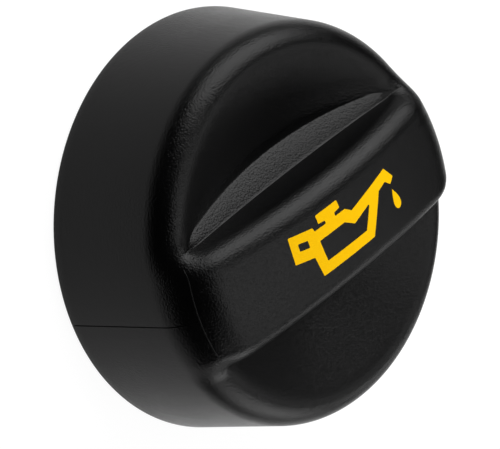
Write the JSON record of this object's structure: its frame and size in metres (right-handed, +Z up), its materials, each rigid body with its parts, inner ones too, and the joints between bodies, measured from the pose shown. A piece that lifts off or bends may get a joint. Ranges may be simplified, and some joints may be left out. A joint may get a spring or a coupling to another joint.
{
  "type": "oil filler cap",
  "caption": "Round black oil filler cap: tapered skirt, rounded rim, arched grip bar between half-moon finger scoops, and a sealed bayonet plug underneath.",
  "frame": {"origin": "on the cap's axis, in the plane of the skirt's lower edge", "axes": "+Z up along the cap's axis, +X along the grip bar, +Y across it"},
  "size_m": [0.0618, 0.0618, 0.0272],
  "materials": {
    "cap_plastic": "black moulded plastic with a fine satin grain",
    "seal_rubber": "smooth matt rubber"
  },
  "bodies": {
    "root": {"cap_body": "cap_plastic", "seal_ring": "seal_rubber"}
  },
  "joints": []
}
